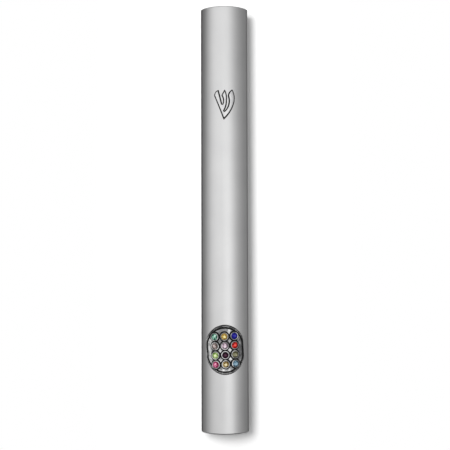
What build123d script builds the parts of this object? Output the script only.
from build123d import *
import math
import os

os.makedirs("parts", exist_ok=True)

# Mezuzah case with a curved breastplate emblem, in millimetres.
# The origin is the middle of the back plate's rear face, which lies on the doorpost.
# +Z is up, the front of the case faces -Y, and +X is to the right as seen from the front.

# Front shell: a channel with a round front, open at the back between two lips
case_length = 150.0
half_width = 8.35
wall = 1.2
arc_axis_y = -1.3
front_radius = 10.9
shoulder_round = 2.0
inner_round = 1.0
rear_round = 0.5
end_chamfer = 0.35
doorpost_gap = 0.1
lip_thickness = 0.9
slot_depth = 1.2
ledge_thickness = 0.8
opening_half_width = 5.3
ledge_half_width = 5.9
inner_half_width = half_width - wall
inner_radius = front_radius - wall
slot_back = -doorpost_gap - lip_thickness
slot_front = slot_back - slot_depth
ledge_front = slot_front - ledge_thickness

# End plugs
plug_gap = 0.03
plug_length = 3.7
plug_recess = 0.3
plug_plate_gap = 0.15
plug_edge = 0.3

# Back plate: a pad that fits between the lips, with wings that run in the slot
running_gap = 0.1
side_gap = 0.2
pad_half_width = opening_half_width - side_gap
pad_thickness = doorpost_gap + lip_thickness + running_gap
wing_half_width = inner_half_width - side_gap
wing_thickness = slot_depth - 2 * running_gap
plate_bottom = -74.8
plate_stop_gap = 0.1
plate_corner = 1.5
plate_thickness = pad_thickness + wing_thickness

# Countersunk wood screws
screw_spacing = 124.0
head_radius = 2.9
head_rim = 0.15
head_sink = 0.1
neck_radius = 1.25
thread_radius = 1.5
thread_end = 9.0
tip_length = 2.0
recess_length = 2.4
recess_width = 0.65
recess_depth = 0.9
hole_radius = 1.75
countersink_radius = 3.2

# Rolled parchment
scroll_length = 120.0
scroll_centre_y = -6.55
scroll_radius = 4.2
sheet_thickness = 0.35
sheet_pitch = 0.42
scroll_turns = 7
scroll_rest = 0.1

# Letter on the upper front
seat_gap = 0.02
letter_z = 39.65
letter_thickness = 0.6
peg_radius = 0.5
peg_hole_radius = 0.6
peg_root = 0.2
peg_sink = 0.05
letter_pegs = [(-0.2, 3.1), (0.1, -3.5)]

# Breastplate emblem: heights are measured outwards from the shell's round front
emblem_z = -45.9
emblem_lean = 3.0
rim_size = (13.3, 17.2, 7.15)
groove_size = (12.7, 15.6, 6.45)
field_size = (11.9, 14.7, 6.05)
rim_height = 1.05
field_height = 0.8
groove_height = 0.45
moat_radius = 1.85
moat_height = 0.6
cup_radius = 1.43
cup_bore = 1.09
cup_top = 1.35
cup_floor = 0.4
cup_root = 0.3
column_angle = 16.6
row_pitch = 3.17
grid_drop = 0.1
emblem_pegs = [(0.0, 5.5), (0.0, -5.5)]

# Round faceted stones
stone_radius = 1.04
stone_sides = 12
table_radius = 0.58
culet_radius = 0.15
girdle_half = 0.05
girdle_height = 1.25
table_height = 1.62
culet_height = 0.5

stop_height = case_length / 2 - plug_recess - plug_length
peg_inner_radius = inner_radius + peg_sink


def place(shape, name):
    """Labels a finished piece and writes its file."""
    shape.label = name
    export_step(shape, "parts/" + name + ".step")


def draw_d_face(side, radius, back):
    """Face with a flat back, two side walls and a round front about the arc axis."""
    shoulder_y = arc_axis_y - math.sqrt(radius**2 - side**2)
    with BuildLine() as outline:
        ThreePointArc((-side, shoulder_y), (0, arc_axis_y - radius), (side, shoulder_y))
        Polyline((side, shoulder_y), (side, back), (-side, back), (-side, shoulder_y))
    make_face(outline.edges())


def hollow_section(gap):
    """Section of the hollow inside the shell, drawn a gap inside its walls."""
    ledge_inner = ledge_half_width - gap
    ledge_size = (half_width - ledge_inner, ledge_thickness + 2 * gap)
    ledge_x = (half_width + ledge_inner) / 2
    ledge_y = (slot_front + ledge_front) / 2
    with BuildSketch() as hollow:
        draw_d_face(inner_half_width - gap, inner_radius - gap, slot_back - gap)
        fillet(hollow.vertices().group_by(Axis.Y)[0], inner_round)
        with Locations((-ledge_x, ledge_y), (ledge_x, ledge_y)):
            Rectangle(*ledge_size, mode=Mode.SUBTRACT)
        with Locations((0, -doorpost_gap - gap)):
            Rectangle(
                2 * (opening_half_width - gap),
                lip_thickness + slot_depth / 2,
                align=(Align.CENTER, Align.MAX),
            )
    return hollow.sketch


def curved_layer(low, high, outline, middle_z, lean=0):
    """Slab that follows the shell's round front between two heights, cut to an outline."""
    reach = outline.bounding_box().size.Y
    with BuildPart() as layer:
        with BuildSketch(Plane.XY.offset(middle_z - reach)):
            with Locations((0, arc_axis_y)):
                Circle(front_radius + high)
                Circle(front_radius + low, mode=Mode.SUBTRACT)
        extrude(amount=2 * reach)
        with BuildSketch(Plane.XZ.offset(-arc_axis_y)):
            with Locations(Location((0, middle_z, 0), (0, 0, lean))):
                add(outline)
        extrude(amount=2 * front_radius, mode=Mode.INTERSECT)
    return layer.part


def bulged_slot(size):
    """Upright slot outline whose round ends are slightly wider than its sides."""
    width, height, end_radius = size
    end_centre = height / 2 - end_radius
    corner_z = end_centre + math.sqrt(max(end_radius**2 - (width / 2) ** 2, 0))
    with BuildSketch() as slot:
        with BuildLine():
            Line((width / 2, -corner_z), (width / 2, corner_z))
            ThreePointArc((width / 2, corner_z), (0, height / 2), (-width / 2, corner_z))
            Line((-width / 2, corner_z), (-width / 2, -corner_z))
            ThreePointArc((-width / 2, -corner_z), (0, -height / 2), (width / 2, -corner_z))
        make_face()
    return slot.sketch


def seat_plane(column, row):
    """Plane on the shell's round front under one stone, facing straight out of the arc."""
    lean = math.radians(emblem_lean)
    across = column * math.radians(column_angle) * (front_radius + cup_top)
    up = row * row_pitch
    angle = (across * math.cos(lean) - up * math.sin(lean)) / (front_radius + cup_top)
    height = emblem_z - grid_drop + across * math.sin(lean) + up * math.cos(lean)
    outward = (math.sin(angle), -math.cos(angle), 0)
    foot = (front_radius * outward[0], arc_axis_y + front_radius * outward[1], height)
    return Plane(origin=foot, x_dir=(math.cos(angle), math.sin(angle), 0), z_dir=outward)


# Shell: the extruded section, eased ends, and holes for the pegs of the letter and the emblem
peg_points = [(x, letter_z + z) for x, z in letter_pegs]
peg_points += [(x, emblem_z + z) for x, z in emblem_pegs]
drill_start = inner_radius / 2 - arc_axis_y
side_middle = half_width - wall / 2
front_middle = arc_axis_y - front_radius + wall / 2
hollow = hollow_section(0)
with BuildPart() as front_shell:
    with BuildSketch(Plane.XY.offset(-case_length / 2)) as shell_section:
        draw_d_face(half_width, front_radius, -doorpost_gap)
        fillet(shell_section.vertices().group_by(Axis.Y)[0], shoulder_round)
        fillet(shell_section.vertices().group_by(Axis.Y)[-1], rear_round)
        add(hollow, mode=Mode.SUBTRACT)
    extrude(amount=case_length)
    ends = front_shell.faces().group_by(Axis.Z)[0] + front_shell.faces().group_by(Axis.Z)[-1]
    outer_edges = ends.edges().filter_by(
        lambda e: abs((e @ 0.5).X) > side_middle or (e @ 0.5).Y < front_middle
    )
    chamfer(outer_edges, end_chamfer)
    with BuildSketch(Plane.XZ.offset(drill_start)):
        with Locations(*peg_points):
            Circle(peg_hole_radius)
    extrude(amount=front_radius, mode=Mode.SUBTRACT)
place(front_shell.part, "front_shell")

# End plugs: both fill the hollow, and the lower one stops short of the back plate behind it
plug_outline = hollow_section(plug_gap)
with BuildPart() as top_end_plug:
    with BuildSketch(Plane.XY.offset(stop_height)):
        add(plug_outline)
    extrude(amount=plug_length)
    chamfer(top_end_plug.faces().sort_by(Axis.Z)[-1].edges(), plug_edge)
place(top_end_plug.part, "top_end_plug")

with BuildPart() as bottom_end_plug:
    with BuildSketch(Plane.XY.offset(-stop_height)):
        add(plug_outline)
        with Locations((0, -plate_thickness - plug_plate_gap)):
            Rectangle(
                2 * half_width,
                2 * plate_thickness,
                align=(Align.CENTER, Align.MIN),
                mode=Mode.SUBTRACT,
            )
    extrude(amount=-plug_length)
    chamfer(bottom_end_plug.faces().sort_by(Axis.Z)[0].edges(), plug_edge)
place(bottom_end_plug.part, "bottom_end_plug")

# Back plate: a T-shaped bar with two countersunk holes and eased upper wing corners
plate_top = stop_height - plate_stop_gap
screw_heights = [-screw_spacing / 2, screw_spacing / 2]
with BuildPart() as back_plate:
    with BuildSketch(Plane.XY.offset(plate_bottom)):
        Rectangle(2 * pad_half_width, plate_thickness, align=(Align.CENTER, Align.MAX))
        with Locations((0, -pad_thickness)):
            Rectangle(2 * wing_half_width, wing_thickness, align=(Align.CENTER, Align.MAX))
    extrude(amount=plate_top - plate_bottom)
    wing_edges = back_plate.edges().filter_by(Axis.Y).group_by(Axis.Z)[-1]
    chamfer(wing_edges.sort_by(Axis.X)[0], plate_corner)
    wing_edges = back_plate.edges().filter_by(Axis.Y).group_by(Axis.Z)[-1]
    chamfer(wing_edges.sort_by(Axis.X)[-1], plate_corner)
    hole_mouths = [
        Plane(origin=(0, -plate_thickness, z), x_dir=(1, 0, 0), z_dir=(0, -1, 0))
        for z in screw_heights
    ]
    with Locations(*hole_mouths):
        CounterSinkHole(hole_radius, countersink_radius, counter_sink_angle=90)
place(back_plate.part, "back_plate")

# Screws: a countersunk head with a cross recess, a neck, and a plain thread envelope
head_front = head_sink - plate_thickness
cone_start = head_front + head_rim
cone_end = cone_start + head_radius - neck_radius
with BuildPart() as mounting_screws:
    for z in screw_heights:
        with BuildSketch(Plane.XY.offset(z)):
            with BuildLine():
                Polyline(
                    (0, head_front),
                    (head_radius, head_front),
                    (head_radius, cone_start),
                    (neck_radius, cone_end),
                    (neck_radius, 0),
                    (thread_radius, 0),
                    (thread_radius, thread_end),
                    (0, thread_end + tip_length),
                    close=True,
                )
            make_face()
        revolve(axis=Axis((0, 0, z), (0, 1, 0)))
        with BuildSketch(Plane.XZ.offset(-head_front)):
            with Locations((0, z)):
                Rectangle(recess_length, recess_width)
                Rectangle(recess_width, recess_length)
        extrude(amount=-recess_depth, mode=Mode.SUBTRACT)
place(mounting_screws.part, "mounting_screws")

# Scroll: one sheet rolled into a spiral of half circles about two alternating centres
scroll_foot = -stop_height + scroll_rest
half_pitch = sheet_pitch / 2
outer_line = scroll_radius - sheet_thickness / 2
inner_line = outer_line - (2 * scroll_turns - 0.5) * half_pitch
with BuildPart() as parchment_scroll:
    with BuildSketch(Plane.XY.offset(scroll_foot)):
        with BuildLine():
            for side in (-sheet_thickness / 2, sheet_thickness / 2):
                for turn in range(2 * scroll_turns):
                    centre_x = half_pitch / 2 if turn % 2 else -half_pitch / 2
                    radius = inner_line + turn * half_pitch + side
                    start = 180 if turn % 2 else 0
                    CenterArc((centre_x, scroll_centre_y), radius, start, 180)
            inner_x = inner_line - half_pitch / 2
            outer_x = inner_line + (2 * scroll_turns - 1) * half_pitch + half_pitch / 2
            for edge_x in (inner_x, outer_x):
                Line(
                    (edge_x - sheet_thickness / 2, scroll_centre_y),
                    (edge_x + sheet_thickness / 2, scroll_centre_y),
                )
        make_face()
    extrude(amount=scroll_length)
place(parchment_scroll.part, "parchment_scroll")

# Letter: three flame-shaped strokes that meet in a point, bent to the shell, with two pegs
with BuildSketch() as letter_face:
    with BuildLine():
        ThreePointArc((-0.3, -5.35), (-1.9, -1.3), (-3.74, 3.15))
        ThreePointArc((-3.74, 3.15), (-3.3, 4.6), (-2.1, 5.3))
        ThreePointArc((-2.1, 5.3), (-1.45, 2.95), (-0.75, 0.15))
        ThreePointArc((-0.75, 0.15), (-0.5, 1.2), (-1.15, 3.3))
        Line((-1.15, 3.3), (0.15, 5.45))
        ThreePointArc((0.15, 5.45), (0.88, 3.7), (0.98, 1.6))
        ThreePointArc((0.98, 1.6), (0.7, -0.6), (-0.08, -2.3))
        ThreePointArc((-0.08, -2.3), (1.4, 0.0), (1.25, 3.15))
        ThreePointArc((1.25, 3.15), (1.75, 4.45), (3.0, 5.5))
        ThreePointArc((3.0, 5.5), (3.72, 3.5), (3.72, 1.0))
        ThreePointArc((3.72, 1.0), (2.24, -2.51), (-0.3, -5.35))
    make_face()
letter_top = seat_gap + letter_thickness
letter_body = curved_layer(seat_gap, letter_top, letter_face.sketch, letter_z)
with BuildPart() as shin_letter:
    add(letter_body)
    with BuildSketch(Plane.XZ.offset(peg_inner_radius - arc_axis_y)):
        with Locations(*[(x, letter_z + z) for x, z in letter_pegs]):
            Circle(peg_radius)
    extrude(amount=front_radius - peg_inner_radius + peg_root)
place(shin_letter.part, "shin_letter")

# Emblem: raised rim, groove and field bent to the shell, with one ringed cup for each stone
columns = {"left": -1, "middle": 0, "right": 1}
rows = {"row1": 1.5, "row2": 0.5, "row3": -0.5, "row4": -1.5}
seats = {
    "stone_" + row + "_" + column: seat_plane(columns[column], rows[row])
    for row in rows
    for column in columns
}
rim_face = bulged_slot(rim_size)
groove_face = bulged_slot(groove_size)
field_face = bulged_slot(field_size)
emblem_body = curved_layer(seat_gap, rim_height, rim_face, emblem_z, emblem_lean)
groove_space = curved_layer(groove_height, 2 * rim_height, groove_face, emblem_z, emblem_lean)
field_body = curved_layer(seat_gap, field_height, field_face, emblem_z, emblem_lean)
upright = (Align.CENTER, Align.CENTER, Align.MIN)
with BuildPart() as breastplate_setting:
    add(emblem_body)
    add(groove_space, mode=Mode.SUBTRACT)
    add(field_body)
    with Locations(*[seat.offset(moat_height) for seat in seats.values()]):
        Cylinder(moat_radius, rim_height, align=upright, mode=Mode.SUBTRACT)
    with Locations(*[seat.offset(cup_root) for seat in seats.values()]):
        Cylinder(cup_radius, cup_top - cup_root, align=upright)
    with Locations(*[seat.offset(cup_floor) for seat in seats.values()]):
        Cylinder(cup_bore, cup_top, align=upright, mode=Mode.SUBTRACT)
    with BuildSketch(Plane.XZ.offset(peg_inner_radius - arc_axis_y)):
        with Locations(*[(x, emblem_z + z) for x, z in emblem_pegs]):
            Circle(peg_radius)
    extrude(amount=front_radius - peg_inner_radius + peg_root)
place(breastplate_setting.part, "breastplate_setting")


def make_stone(seat):
    """Faceted stone: a flat table, a sloping crown, a thin girdle and a pointed back."""
    girdle_low = girdle_height - girdle_half
    girdle_high = girdle_height + girdle_half
    with BuildPart() as stone:
        with BuildSketch(seat.offset(girdle_low)):
            RegularPolygon(stone_radius, stone_sides)
        extrude(amount=2 * girdle_half)
        with BuildSketch(seat.offset(girdle_high)):
            RegularPolygon(stone_radius, stone_sides)
        with BuildSketch(seat.offset(table_height)):
            RegularPolygon(table_radius, stone_sides)
        loft(ruled=True)
        with BuildSketch(seat.offset(girdle_low)):
            RegularPolygon(stone_radius, stone_sides)
        with BuildSketch(seat.offset(culet_height)):
            RegularPolygon(culet_radius, stone_sides)
        loft(ruled=True)
    return stone.part


for stone_name, stone_seat in seats.items():
    place(make_stone(stone_seat), stone_name)
